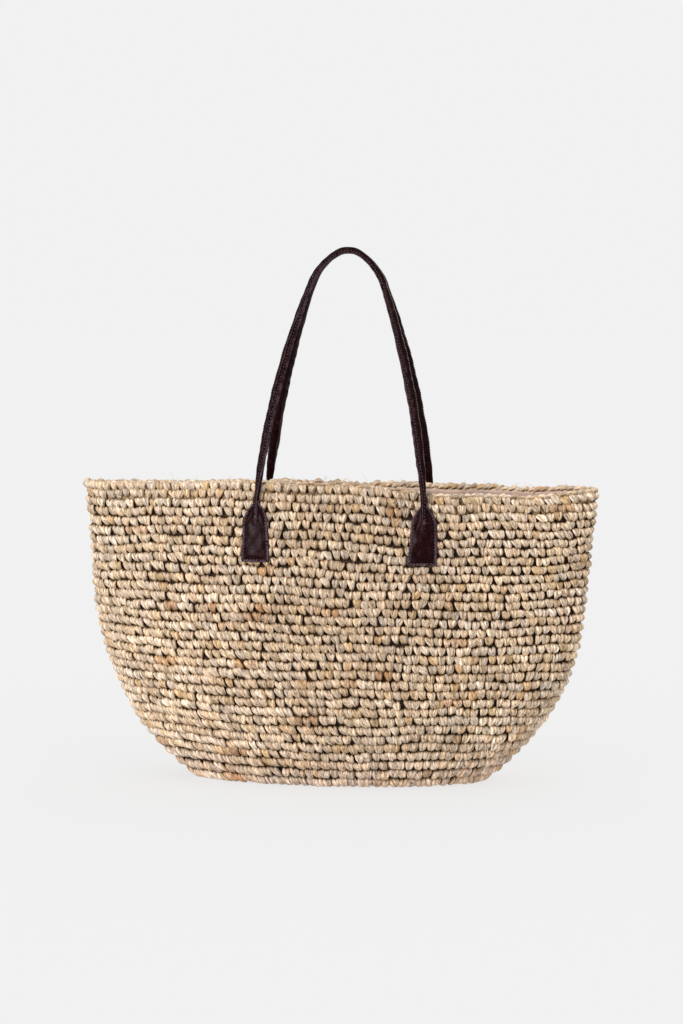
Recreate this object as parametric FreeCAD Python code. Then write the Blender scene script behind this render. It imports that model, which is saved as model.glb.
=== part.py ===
import FreeCAD, Part
import math
import os

# Beach bag: a crocheted raffia tote that flares up from an oval base to a flat,
# lens-shaped mouth. It has a cloth lining and two rolled leather handles, each
# sewn on through a leather tab with a backing patch inside the wall.
# Millimetres, +Z up. Origin: middle of the base, on the surface it stands on.
# The front is on the -Y side. The rear is the front mirrored.

# Driving dimensions of the crocheted body
RIM_Z = 312.0                 # height of the mouth's rim
RIM_HALF_WIDTH = 270.0
RIM_HALF_DEPTH = 43.0
BASE_HALF_WIDTH = 152.0
BASE_HALF_DEPTH = 60.0
BELLY_HALF_DEPTH = 84.0
BELLY_Z = 90.0                # height where the body is deepest
SLOPE_FLARE = 24.0            # half-width gained evenly up the wall
ROUND_FLARE_POWER = 4.2       # how early the rest of the half-width is gained
HEEL_POWER = 2.2              # depth swells quickly above the base
CLOSING_POWER = 1.6           # depth closes slowly towards the rim
RIM_LENS = 0.4                # 0 is an ellipse, more is a lens with tight ends
CROCHET_THICKNESS = 6.0
EDGING_HEIGHT = 8.0
EDGING_BULGE = 1.0

# Lining
LINING_GAP = 2.0
LINING_THICKNESS = 0.8
HEM_GAP = 0.3                 # between the lining and the hem folded over it
HEM_THICKNESS = 1.0
HEM_HEIGHT = 14.0
THREAD_THICKNESS = 0.4
THREAD_WIDTH = 0.8
THREAD_GAP = 0.1
HEM_THREAD_Z = RIM_Z - EDGING_HEIGHT - 10.0

# Handles and tabs
HANDLE_SHIFT_X = 8.0          # the handles sit a little off the middle of the mouth
HANDLE_TILT = 0.6             # degrees, the right leg is sewn on lower
NECK_HALF_SPACING = 86.5      # from the handle's middle to each leg at the hinge line
NECK_Z = 293.0
NECK_Y = 49.5
HANDLE_LEAN = 9.9             # degrees, the two handles lean on each other
STRAP_WIDTH = 7.6
STRAP_DEPTH = 6.2
CORE_WIDTH = 4.6
CORE_DEPTH = 3.4
LEG_START_TURN = 4.0          # degrees from upright, at the neck
LEG_END_TURN = 20.0
SHOULDER_END_TURN = 56.0
LEG_RADIUS = 829.3
SHOULDER_RADIUS = 65.9
CROWN_RADIUS = 24.0

TAB_TOP_GAP = 7.0             # below the hinge line, room for the strap's end to turn
TAB_TOP_WIDTH = 10.0
TAB_SHOULDER_WIDTH = 28.6
TAB_BOTTOM_WIDTH = 31.2
TAB_SHOULDER_DROP = 22.0      # below the hinge line
TAB_DROP = 62.0
TAB_THICKNESS = 3.0
TAB_STITCH_INSET = 2.6
PATCH_THICKNESS = 1.2
PATCH_WIDTH = 36.0
PATCH_HEIGHT = 54.0

SECTION_HEIGHTS = [0.0, 8.0, 22.0, 45.0, 80.0, 125.0, 175.0, 225.0, 270.0, 312.0]
OUTLINE_POINTS = 40           # a multiple of 8, so that the outline splits evenly
FRONT = -1
REAR = 1
LEFT = -1
RIGHT = 1
SIDE_NAMES = {FRONT: "front", REAR: "rear"}
HAND_NAMES = {LEFT: "left", RIGHT: "right"}


def half_width(z):
    left_over = 1.0 - z / RIM_Z
    round_flare = RIM_HALF_WIDTH - BASE_HALF_WIDTH - SLOPE_FLARE
    return RIM_HALF_WIDTH - SLOPE_FLARE * left_over - round_flare * left_over ** ROUND_FLARE_POWER


def half_depth(z):
    heel = max(0.0, 1.0 - z / BELLY_Z) ** HEEL_POWER
    closing = max(0.0, (z - BELLY_Z) / (RIM_Z - BELLY_Z)) ** CLOSING_POWER
    return (BELLY_HALF_DEPTH - (BELLY_HALF_DEPTH - BASE_HALF_DEPTH) * heel
            - (BELLY_HALF_DEPTH - RIM_HALF_DEPTH) * closing)


def outline(z, offset):
    """Closed outline of the body at height z, grown by offset, as a front, a rear and two end edges."""
    width = half_width(z) + offset
    depth = half_depth(z) + offset
    lens = RIM_LENS * z / RIM_Z
    points = []
    for i in range(OUTLINE_POINTS):
        angle = 2.0 * math.pi * i / OUTLINE_POINTS + math.pi / 4
        across = math.cos(angle)
        points.append(FreeCAD.Vector(width * across,
                                     depth * math.sin(angle) * (1.0 - lens * across ** 2), z))
    curve = Part.BSplineCurve()
    curve.interpolate(points, PeriodicFlag=True)
    corners = curve.getKnots()[::OUTLINE_POINTS // 4]
    return Part.Wire([curve.toShape(a, b) for a, b in zip(corners[:-1], corners[1:])])


def filled(offset, z_low, z_high):
    """The stretch of the filled-in body between two heights, grown by offset."""
    clear = 3.0
    inner = [z for z in SECTION_HEIGHTS if z_low + clear < z < z_high - clear]
    if not inner:
        inner = [(z_low + z_high) / 2]
    wires = [outline(z, offset) for z in [z_low] + inner + [z_high]]
    return Part.makeLoft(wires, True, False)


def ring(outer_offset, inner_offset, z_low, z_high):
    """A hollow stretch of the body between two offsets and two heights."""
    return filled(outer_offset, z_low, z_high).cut(filled(inner_offset, z_low, z_high))


def half_space(side):
    size = 2.0 * RIM_HALF_WIDTH + 100.0
    y_low = 0.0 if side == REAR else -size
    return Part.makeBox(size, size, size, FreeCAD.Vector(-size / 2, y_low, 0.0))


def save(shape, node):
    solids = shape.Solids
    shape = solids[0] if len(solids) == 1 else Part.makeCompound(solids)
    shape.exportStep("parts/" + node + ".step")
    box = shape.BoundBox
    print(f"{node:28s} solids {len(solids)} valid {shape.isValid()} volume {shape.Volume:11.1f} "
          f"x {box.XMin:.1f}..{box.XMax:.1f} y {box.YMin:.1f}..{box.YMax:.1f} "
          f"z {box.ZMin:.1f}..{box.ZMax:.1f}")


def handle_place(side):
    """From the handle's own plane (X across, Z up, origin on the hinge line) to the bag."""
    lean = FreeCAD.Rotation(FreeCAD.Vector(1, 0, 0), side * HANDLE_LEAN)
    tilt = FreeCAD.Rotation(FreeCAD.Vector(0, 1, 0), HANDLE_TILT)
    return FreeCAD.Placement(FreeCAD.Vector(HANDLE_SHIFT_X, side * NECK_Y, NECK_Z), tilt * lean)


def neck_point(hand):
    """Where a leg crosses the hinge line, as X and Z."""
    tilt = math.radians(HANDLE_TILT)
    along = hand * NECK_HALF_SPACING
    return HANDLE_SHIFT_X + along * math.cos(tilt), NECK_Z - along * math.sin(tilt)


def arch_wire(y):
    """The handle's arch in its own plane, moved to y: leg, shoulder and crown arcs, mirrored."""
    turns = [LEG_START_TURN, LEG_END_TURN, SHOULDER_END_TURN, 90.0]
    radii = [LEG_RADIUS, SHOULDER_RADIUS, CROWN_RADIUS]
    x = NECK_HALF_SPACING
    z = 0.0
    arcs = []
    for radius, start, end in zip(radii, turns[:-1], turns[1:]):
        arc = []
        for share in (0.0, 0.5, 1.0):
            turn = math.radians(start + (end - start) * share)
            first = math.radians(start)
            arc.append((x - radius * (math.cos(first) - math.cos(turn)),
                        z + radius * (math.sin(turn) - math.sin(first))))
        arcs.append(arc)
        x, z = arc[-1]
    middle = x                # rounding left over where the two halves meet
    edges = []
    for arc in arcs:
        a, b, c = [FreeCAD.Vector(px - middle, y, pz) for px, pz in arc]
        edges.append(Part.Arc(a, b, c).toShape())
    for arc in reversed(arcs):
        a, b, c = [FreeCAD.Vector(middle - px, y, pz) for px, pz in arc]
        edges.append(Part.Arc(c, b, a).toShape())
    return Part.Wire(edges)


def arch_sweep(y, width, depth):
    """An oval section swept along the arch."""
    path = arch_wire(y)
    start = path.Edges[0]
    point = start.valueAt(start.FirstParameter)
    tangent = start.tangentAt(start.FirstParameter)
    across = FreeCAD.Vector(0, 1, 0).cross(tangent)
    long_way = across if width >= depth else FreeCAD.Vector(0, 1, 0)
    centre = point
    big, small = max(width, depth) / 2, min(width, depth) / 2
    other = tangent.cross(long_way)
    if big == small:
        section = Part.Circle(centre, tangent, big)
    else:
        section = Part.Ellipse(centre + long_way * big, centre + other * small, centre)
    return path.makePipeShell([Part.Wire(section.toShape())], True, False)


def tab_outline(inset):
    """Spade outline below one neck, as a face in the XZ plane, shrunk by inset."""
    top = -TAB_TOP_GAP - inset
    bottom = -TAB_DROP + inset
    shoulder = -TAB_SHOULDER_DROP
    half_top = TAB_TOP_WIDTH / 2 - inset * 0.6
    half_shoulder = TAB_SHOULDER_WIDTH / 2 - inset
    half_bottom = TAB_BOTTOM_WIDTH / 2 - inset
    bend_z = (top + shoulder) / 2
    bend_x = half_top + (half_shoulder - half_top) * 0.62
    right = [FreeCAD.Vector(half_top, 0, top), FreeCAD.Vector(bend_x, 0, bend_z),
             FreeCAD.Vector(half_shoulder, 0, shoulder)]
    left = [FreeCAD.Vector(-p.x, 0, p.z) for p in right]
    low_right = FreeCAD.Vector(half_bottom, 0, bottom)
    low_left = FreeCAD.Vector(-half_bottom, 0, bottom)
    edges = [Part.LineSegment(left[0], right[0]).toShape(),
             Part.Arc(right[0], right[1], right[2]).toShape(),
             Part.LineSegment(right[2], low_right).toShape(),
             Part.LineSegment(low_right, low_left).toShape(),
             Part.LineSegment(low_left, left[2]).toShape(),
             Part.Arc(left[2], left[1], left[0]).toShape()]
    return Part.Face(Part.Wire(edges))


def through_wall(face, side, hand):
    """A face drawn around a neck, pushed from the middle plane out through one wall."""
    x, z = neck_point(hand)
    prism = face.extrude(FreeCAD.Vector(0, side * 2 * BELLY_HALF_DEPTH, 0))
    prism.translate(FreeCAD.Vector(x, 0, z))
    return prism


def build_crochet():
    wall_top = RIM_Z - EDGING_HEIGHT
    save(filled(0.0, 0.0, CROCHET_THICKNESS), "crochet_base")
    save(ring(0.0, -CROCHET_THICKNESS, CROCHET_THICKNESS, wall_top), "crochet_wall")
    save(ring(EDGING_BULGE, -CROCHET_THICKNESS, wall_top, RIM_Z), "rim_edging")


def build_lining():
    outside = -CROCHET_THICKNESS - LINING_GAP
    inside = outside - LINING_THICKNESS
    hem_outside = inside - HEM_GAP
    hem_inside = hem_outside - HEM_THICKNESS
    thread_outside = hem_inside - THREAD_GAP
    seam_outside = inside - THREAD_GAP
    floor_z = CROCHET_THICKNESS + LINING_GAP
    wall_z = floor_z + LINING_THICKNESS
    top_z = RIM_Z - EDGING_HEIGHT
    hem_z = top_z - HEM_HEIGHT
    save(filled(outside, floor_z, wall_z), "lining_base")
    cloth = ring(outside, inside, wall_z, top_z)
    for side in (FRONT, REAR):
        save(cloth.common(half_space(side)), "lining_" + SIDE_NAMES[side])
    save(ring(hem_outside, hem_inside, hem_z, top_z), "lining_hem")
    thread_z = (HEM_THREAD_Z, HEM_THREAD_Z + THREAD_WIDTH)
    save(ring(thread_outside, thread_outside - THREAD_THICKNESS, *thread_z), "hem_thread")
    strip = Part.makeBox(4 * RIM_HALF_WIDTH, THREAD_WIDTH, RIM_Z)
    strip.translate(FreeCAD.Vector(-2 * RIM_HALF_WIDTH, -THREAD_WIDTH / 2, 0))
    seam = ring(seam_outside, seam_outside - THREAD_THICKNESS, wall_z + 2.0, hem_z - 2.0)
    save(seam.common(strip), "lining_seam_thread")


def build_tabs():
    wall = (CROCHET_THICKNESS, RIM_Z - EDGING_HEIGHT)
    tab_shell = ring(TAB_THICKNESS, 0.0, *wall)
    thread_shell = ring(TAB_THICKNESS + THREAD_THICKNESS, TAB_THICKNESS, *wall)
    patch_shell = ring(-CROCHET_THICKNESS, -CROCHET_THICKNESS - PATCH_THICKNESS, *wall)
    stitch_line = tab_outline(TAB_STITCH_INSET).cut(tab_outline(TAB_STITCH_INSET + THREAD_WIDTH))
    corner = FreeCAD.Vector(-PATCH_WIDTH / 2, 0, -TAB_DROP - 3.0)
    patch = Part.makePlane(PATCH_WIDTH, PATCH_HEIGHT, corner, FreeCAD.Vector(0, -1, 0),
                           FreeCAD.Vector(1, 0, 0))
    for side in (FRONT, REAR):
        for hand in (LEFT, RIGHT):
            name = SIDE_NAMES[side] + "_" + HAND_NAMES[hand] + "_tab"
            save(tab_shell.common(through_wall(tab_outline(0.0), side, hand)), name)
            save(thread_shell.common(through_wall(stitch_line, side, hand)), name + "_thread")
            save(patch_shell.common(through_wall(patch, side, hand)), name + "_backing")


def build_handle(side):
    name = SIDE_NAMES[side] + "_handle"
    place = handle_place(side)
    core = arch_sweep(0.0, CORE_WIDTH, CORE_DEPTH)
    sheath = arch_sweep(0.0, STRAP_WIDTH, STRAP_DEPTH).cut(core)
    thread = arch_sweep(side * (STRAP_DEPTH + THREAD_WIDTH) / 2, THREAD_WIDTH, THREAD_WIDTH)
    for shape, node in ((sheath, name + "_strap"), (core, name + "_core"), (thread, name + "_thread")):
        shape.Placement = place.multiply(shape.Placement)
        save(shape, node)


def main():
    os.makedirs("parts", exist_ok=True)
    build_crochet()
    build_lining()
    build_tabs()
    for side in (FRONT, REAR):
        build_handle(side)


main()
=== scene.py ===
import math

import bpy
import numpy as np
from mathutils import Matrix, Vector


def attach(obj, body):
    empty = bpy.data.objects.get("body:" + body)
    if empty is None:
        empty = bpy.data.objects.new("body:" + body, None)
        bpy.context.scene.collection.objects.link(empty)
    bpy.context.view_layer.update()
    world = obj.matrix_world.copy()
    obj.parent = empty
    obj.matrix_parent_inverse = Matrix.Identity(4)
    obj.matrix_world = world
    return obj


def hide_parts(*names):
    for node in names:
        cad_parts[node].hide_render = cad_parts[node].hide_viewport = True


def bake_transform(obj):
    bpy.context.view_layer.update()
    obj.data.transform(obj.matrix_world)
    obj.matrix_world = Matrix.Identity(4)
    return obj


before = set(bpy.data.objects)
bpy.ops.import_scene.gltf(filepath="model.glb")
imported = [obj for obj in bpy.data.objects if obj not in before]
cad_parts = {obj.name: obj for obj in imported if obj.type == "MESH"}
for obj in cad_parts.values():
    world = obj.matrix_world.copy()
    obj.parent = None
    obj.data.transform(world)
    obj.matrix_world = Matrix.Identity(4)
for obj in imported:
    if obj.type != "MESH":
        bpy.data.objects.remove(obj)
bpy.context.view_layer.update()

# The beach bag's looks: a raffia body crocheted stitch by stitch, a cloth lining with a
# sewn hem, and rolled leather handles that run down into creased, stitched tabs.
# Metres, in the frame's own axes: the front is on the -Y side.

RNG = np.random.default_rng(20)
MM = 0.001
TURN = 2.0 * np.pi
FRONT, REAR = -1, 1
LEFT, RIGHT = -1, 1
SIDES = {FRONT: "front", REAR: "rear"}
HANDS = {LEFT: "left", RIGHT: "right"}

# Sizes of the crocheted body, the same as the CAD's
RIM_Z = 0.312
RIM_HALF_WIDTH = 0.270
RIM_HALF_DEPTH = 0.043
BASE_HALF_WIDTH = 0.152
BASE_HALF_DEPTH = 0.060
BELLY_HALF_DEPTH = 0.084
BELLY_Z = 0.090
SLOPE_FLARE = 0.024
ROUND_FLARE_POWER = 4.2
HEEL_POWER = 2.2
CLOSING_POWER = 1.6
RIM_LENS = 0.4

# The crochet itself, which the CAD leaves plain
DIP_FOOT_Z = 0.16  # the rim's dip fades out downwards to this height
FLOOR_GAP = 0.0001  # the stitches stay this far above the ground
ROWS = 33
ROW_PITCH = 0.00930
STITCH_PITCH = 0.0087
EDGING_Z = ROWS * ROW_PITCH + 0.0004
BACKING_DEPTH = 0.0042  # the shell behind the stitches, below the outer face, coloured near-black as painted shade
LOFT_DEPTH = 0.0026  # the stitches' own middle, below the outer face
CROCHET_THICKNESS = 0.006
LINK_PITCH = 0.0070  # of the chain along the rim
LINK_STRETCH = 1.45  # of the links' length, along the rim
CHAIN_DROP = 0.0018  # of the chain's middle, below the edging's height
EDGING_SPREAD = 0.0068  # from sideways places to metres across the rim
INNER_ROUND_DROPS = (0.54, 1.45)  # rows below the edging of the rounds seen from inside
TOP_ROUND_DROP = 0.0007
BACK_TOP_DROP = 0.0034  # of the backing's top edge, below the edging
BASE_LOFT_Z = 0.0042  # the middle of the base's stitches, above the ground
BASE_BACK_Z = 0.0040

# Handles, the same as the CAD's but for the rear one, which here stands a little further
# left and tilts a little more, as in the photo
HANDLE_SHIFT_X = {FRONT: 0.0080, REAR: 0.0045}
HANDLE_TILT = {FRONT: math.radians(0.6), REAR: math.radians(1.1)}
HANDLE_LEAN = math.radians(9.9)
NECK_HALF_SPACING = 0.0865
NECK_Z = 0.293
NECK_Y = 0.0495
ARCH_TURNS = (4.0, 20.0, 56.0, 90.0)
ARCH_RADII = (0.8293, 0.0659, 0.0240)
TAB_DROP = 0.062


# ---- the body's shape

def half_width(z):
    left_over = np.clip(1.0 - z / RIM_Z, 0.0, 1.0)
    round_flare = RIM_HALF_WIDTH - BASE_HALF_WIDTH - SLOPE_FLARE
    return RIM_HALF_WIDTH - SLOPE_FLARE * left_over - round_flare * left_over ** ROUND_FLARE_POWER


def half_depth(z):
    heel = np.clip(1.0 - z / BELLY_Z, 0.0, 1.0) ** HEEL_POWER
    closing = np.clip((z - BELLY_Z) / (RIM_Z - BELLY_Z), 0.0, 1.2) ** CLOSING_POWER
    return (BELLY_HALF_DEPTH - (BELLY_HALF_DEPTH - BASE_HALF_DEPTH) * heel
            - (BELLY_HALF_DEPTH - RIM_HALF_DEPTH) * closing)


def smooth(value, low, high):
    share = np.clip((value - low) / (high - low), 0.0, 1.0)
    return share * share * (3.0 - 2.0 * share)


def hump(value, middle, width):
    """A rounded bump: 1 at the middle, fading to nothing over about two widths."""
    return np.exp(-((value - middle) / width) ** 2)


def mixed(first, second, share):
    return first * (1.0 - share) + second * share


def unit(vectors):
    return vectors / np.linalg.norm(vectors, axis=-1, keepdims=True)


def xyz(x, y, z):
    return np.stack(np.broadcast_arrays(x, y, z), -1)


def even_turns(count):
    return np.linspace(0.0, TURN, count, endpoint=False)


def run_along(x, y):
    """The distance to each point of a line from its first one."""
    return np.concatenate([[0.0], np.cumsum(np.hypot(np.diff(x), np.diff(y)))])


def outline_point(angle, z, offset=0.0):
    """X and Y on the body's outline at height z; the front is angles from pi to 2 pi."""
    across = np.cos(angle)
    lens = RIM_LENS * z / RIM_Z
    x = (half_width(z) + offset) * across
    y = (half_depth(z) + offset) * np.sin(angle) * (1.0 - lens * across ** 2)
    return x, y


def round_table():
    """For a few heights: the outline's length, and the angle at even shares of it from the left end."""
    heights = np.linspace(0.0, RIM_Z, 53)
    angles = np.pi + np.linspace(0.0, TURN, 1441)
    shares = np.linspace(0.0, 1.0, 721)
    lengths, table = [], []
    for z in heights:
        run = run_along(*outline_point(angles, z))
        lengths.append(run[-1])
        table.append(np.interp(shares * run[-1], run, angles))
    return heights, np.array(lengths), np.array(table)


HEIGHTS, LENGTHS, ANGLES = round_table()


def length_at(z):
    return np.interp(z, HEIGHTS, LENGTHS)


def angle_at(share, z):
    """The outline's angle a share of the way round from the left end, passing the front first."""
    turns = np.floor(share)
    column = (share - turns) * (ANGLES.shape[1] - 1)
    row = np.clip(z / RIM_Z, 0.0, 1.0) * (len(HEIGHTS) - 1)
    c0 = np.minimum(column.astype(int), ANGLES.shape[1] - 2)
    r0 = np.minimum(row.astype(int), len(HEIGHTS) - 2)
    c, r = column - c0, row - r0
    low = ANGLES[r0, c0] * (1 - c) + ANGLES[r0, c0 + 1] * c
    high = ANGLES[r0 + 1, c0] * (1 - c) + ANGLES[r0 + 1, c0 + 1] * c
    return low * (1 - r) + high * r + turns * TURN


def slouch(x, y, z):
    """How far the soft wall stands out from its plain shape: slow waves and one shallow hollow."""
    waves = 1.6 * np.sin(x * 21.0 + z * 9.0 + 0.7) * np.sin(z * 24.0 - x * 6.0 + 1.1)
    waves += 0.9 * np.sin(x * 47.0 - z * 31.0 + y * 20.0)
    hollow = hump(x + 0.160, 0.3 * (z - 0.13), 0.034) * hump(z, 0.125, 0.060)
    front = smooth(-y, 0.0, 0.03)
    return MM * (waves * smooth(z, 0.01, 0.08) - 5.0 * hollow * front)


def rim_dip(x, y):
    """How far the rim hangs: lower right of the middle, and at the front higher left of it."""
    right = smooth(x, 0.040, 0.130) * (1.0 - 0.35 * smooth(x, 0.20, 0.27))
    front = 0.25 + 0.75 * smooth(-y, -0.01, 0.02)
    ripple = 0.7 * np.sin(x * 33.0 + 1.0) + 0.5 * np.sin(x * 71.0)
    raised = smooth(x, -0.262, -0.150) * (1.0 - smooth(x, 0.010, 0.090))
    return MM * (7.0 * right * front - 4.2 * raised * (front - 0.25) / 0.75 + ripple)


def on_body(share, z, out):
    """Points on the settled body: a share of the way round, a height, and a distance off the wall."""
    share, z = np.broadcast_arrays(share, z)
    flat_z = np.clip(z, 0.0005, RIM_Z + 0.004)
    angle = angle_at(share, flat_z)
    x, y = outline_point(angle, flat_z)
    step = 1e-4
    xa, ya = outline_point(angle + step, flat_z)
    xb, yb = outline_point(angle, flat_z + step)
    normal = unit(np.cross(xyz(xa - x, ya - y, 0.0), xyz(xb - x, yb - y, step)))
    out = out + slouch(x, y, z)
    point = xyz(x, y, z) + normal * out[..., None]
    point[..., 2] -= rim_dip(x, y) * smooth(z, DIP_FOOT_Z, RIM_Z)
    return point


def wall_y(x, z, side, out=0.0):
    """Y of the settled front or rear wall at a place seen from straight ahead."""
    plain_z = z + rim_dip(x, side * 0.05) * smooth(z, DIP_FOOT_Z, RIM_Z)
    across = np.clip(x / half_width(plain_z), -1.0, 1.0)
    lens = RIM_LENS * plain_z / RIM_Z
    y = side * half_depth(plain_z) * np.sqrt(1.0 - across ** 2) * (1.0 - lens * across ** 2)
    return y + side * (out + slouch(x, y, plain_z))


# ---- making meshes

def mesh_piece(name, points, faces, material, uv=None, tint=None):
    """A mesh object from arrays. faces is (count, 4) with -1 in the last column for a triangle."""
    points = np.asarray(points, np.float32).reshape(-1, 3)
    faces = np.asarray(faces, np.int32)
    sizes = np.where(faces[:, 3] < 0, 3, 4)
    loops = faces.ravel()
    loops = loops[loops >= 0]
    mesh = bpy.data.meshes.new(name)
    mesh.vertices.add(len(points))
    mesh.vertices.foreach_set("co", points.ravel())
    mesh.loops.add(len(loops))
    mesh.loops.foreach_set("vertex_index", loops)
    mesh.polygons.add(len(faces))
    starts = np.concatenate([[0], np.cumsum(sizes)[:-1]]).astype(np.int32)
    mesh.polygons.foreach_set("loop_start", starts)
    mesh.polygons.foreach_set("loop_total", sizes.astype(np.int32))
    mesh.polygons.foreach_set("use_smooth", np.full(len(faces), True))
    if uv is not None:
        layer = mesh.uv_layers.new(name="fibre")
        layer.data.foreach_set("uv", np.asarray(uv, np.float32)[loops].ravel())
    if tint is not None:
        layer = mesh.attributes.new("tint", "FLOAT_COLOR", "POINT")
        rgba = np.ones((len(points), 4), np.float32)
        rgba[:, :3] = tint
        layer.data.foreach_set("color", rgba.ravel())
    mesh.update()
    mesh.validate()
    mesh.materials.append(material)
    piece = bpy.data.objects.new(name, mesh)
    bpy.context.scene.collection.objects.link(piece)
    return piece


def grid_faces(rows, columns, closed):
    """Quads of a grid of points, its columns joined up into a tube if closed."""
    across = columns if closed else columns - 1
    r, c = np.meshgrid(np.arange(rows - 1), np.arange(across), indexing="ij")
    nxt = (c + 1) % columns
    quads = np.stack([r * columns + c, r * columns + nxt, (r + 1) * columns + nxt,
                      (r + 1) * columns + c], -1)
    return quads.reshape(-1, 4)


def many(faces, per_item, count):
    """The same faces repeated for each of count items."""
    shift = (np.arange(count) * per_item)[:, None, None]
    return (faces[None] + np.where(faces[None] < 0, 0, shift)).reshape(-1, 4)


def tube_faces(rings, sides):
    """A tube of quads with both ends closed by strips of quads; sides is even."""
    faces = [grid_faces(rings, sides, True)]
    for start, turn in ((0, -1), ((rings - 1) * sides, 1)):
        ring = start + np.arange(sides)[::turn]
        faces.append([[ring[i], ring[i + 1], ring[sides - 2 - i], ring[sides - 1 - i]]
                      for i in range(sides // 2 - 1)])
    return np.concatenate(faces)


def rings_round(centres, one, two, radius, angle):
    """Points at each angle round each centre, in the plane of the directions one and two."""
    circle = one[..., None, :] * np.cos(angle)[:, None] + two[..., None, :] * np.sin(angle)[:, None]
    return centres[..., None, :] + circle * radius[..., None]


def oval(width, depth, rows, columns):
    """X and Y of rings of points that fill an oval."""
    reach = np.linspace(0.0, 1.0, rows)[:, None]
    angle = even_turns(columns)
    return width * reach * np.cos(angle), depth * reach * np.sin(angle)


# ---- crochet stitches

LEG_RINGS = 9
LEG_SIDES = 10
YELLOWING = np.array([0.0, 0.035, 0.11])  # of one leg against the next
STRAND_SHARE = 0.42  # of the stitches have a loose slanting strand over them
LOOSE = 0                     # the hand of such a strand, in place of LEFT or RIGHT
RIM_DARKEST = 0.50  # the painted shade in creases is no darker than this at the rim, where light gets in
ROWS_PER_PIECE = 3
# along a leg from its foot to its tip: place up the row, sideways place, height off the wall
LEG_UP = np.array([-0.66, -0.57, -0.42, -0.22, 0.00, 0.20, 0.34, 0.44, 0.51])
LEG_OUT = np.array([-2.0, -0.20, 1.15, 1.95, 2.15, 1.65, 0.50, -1.1, -2.5]) * MM
LEG_SPREAD = np.array([0.01, 0.035, 0.08, 0.140, 0.200, 0.245, 0.270, 0.275, 0.265])
LEG_WIDTH = np.array([0.10, 0.185, 0.240, 0.275, 0.290, 0.280, 0.24, 0.175, 0.09])
LEG_DEPTH = np.array([0.7, 1.30, 1.85, 2.25, 2.35, 2.05, 1.60, 1.10, 0.7]) * MM


def leg_template(hand, slant, size, lift, wave):
    """Local places of legs: sideways (stitch pitches), up (rows), out (metres)."""
    ring = even_turns(LEG_SIDES)
    up = LEG_UP * (1.0 + 0.14 * wave[:, 3:4]) + 0.05 * wave[:, 2:3]
    out = LEG_OUT * lift[:, None]
    spread = hand * LEG_SPREAD + slant[:, None] * (LEG_UP + 0.1)
    spread = spread + 0.05 * wave[:, 0:1] + 0.05 * wave[:, 1:2] * np.sin(3.0 * LEG_UP)
    width = LEG_WIDTH * size[:, None]
    depth = LEG_DEPTH * size[:, None]
    pleat = 1.0 + 0.12 * np.cos(3.0 * ring + 6.0 * wave[:, 2:3])
    pleat = pleat + 0.09 * np.cos(4.0 * ring + 9.0 * wave[:, 1:2])
    lean = np.gradient(spread, axis=1) / np.gradient(up, axis=1)
    sideways = spread[:, :, None] + width[:, :, None] * np.cos(ring) * pleat[:, None, :]
    upward = up[:, :, None] - lean[:, :, None] * width[:, :, None] * np.cos(ring) * 0.55
    outward = out[:, :, None] + depth[:, :, None] * np.sin(ring) * pleat[:, None, :]
    return sideways, upward, outward, pleat


LEG_FACES = tube_faces(LEG_RINGS, LEG_SIDES)
LEG_POINTS = LEG_RINGS * LEG_SIDES


def raffia_tint(count, x, z):
    """One colour for each stitch: straw, with paler, greyer and rust-stained lengths of raffia, and
    painted light and shade that vary with the place on the bag.
    """
    straw = np.array([0.655, 0.485, 0.315])
    pale = np.array([0.850, 0.735, 0.600])
    honey = np.array([0.600, 0.400, 0.200])
    rust = np.array([0.520, 0.270, 0.110])
    strand = 0.5 + 0.5 * np.sin(x * 19.0 + z * 410.0 + 2.0 * np.sin(z * 97.0))
    mix = np.clip(0.55 * strand + 0.45 * RNG.random(count), 0.0, 1.0)[:, None]
    tint = mixed(straw, pale, 0.62 * mix)
    golden = (RNG.random(count) < 0.10)[:, None] * RNG.uniform(0.3, 0.9, (count, 1))
    tint = mixed(tint, honey, golden)
    spot = RNG.random(count) < 0.010
    spot = spot | np.roll(spot, 1) | (np.roll(spot, 2) & (RNG.random(count) < 0.6))
    stained = spot[:, None] * RNG.uniform(0.25, 0.8, (count, 1))
    tint = mixed(tint, rust, stained)
    tint = tint * RNG.uniform(0.86, 1.10, (count, 1))
    # Painted light and shade by place on the bag: darker across the middle, lighter at the base.
    middle = (smooth(x, -0.15, -0.03) * (1.0 - smooth(x, 0.03, 0.20)))[:, None]
    tint = tint * (1.0 - middle * np.array([0.15, 0.17, 0.19]))
    low = smooth(-z, -0.05, 0.0)[:, None]
    # fade is painted light: lighter low down and to the right, darker higher up and to the left.
    fade = 1.07 - 0.11 * smooth(z, 0.02, 0.28) + 0.05 * smooth(x, 0.08, 0.20)
    fade = fade - 0.07 * smooth(-x, 0.06, 0.18) * (0.4 + 0.6 * smooth(z, 0.10, 0.25))
    return tint * (1.0 + low * np.array([0.03, 0.01, 0.06])) * fade[:, None]


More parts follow.
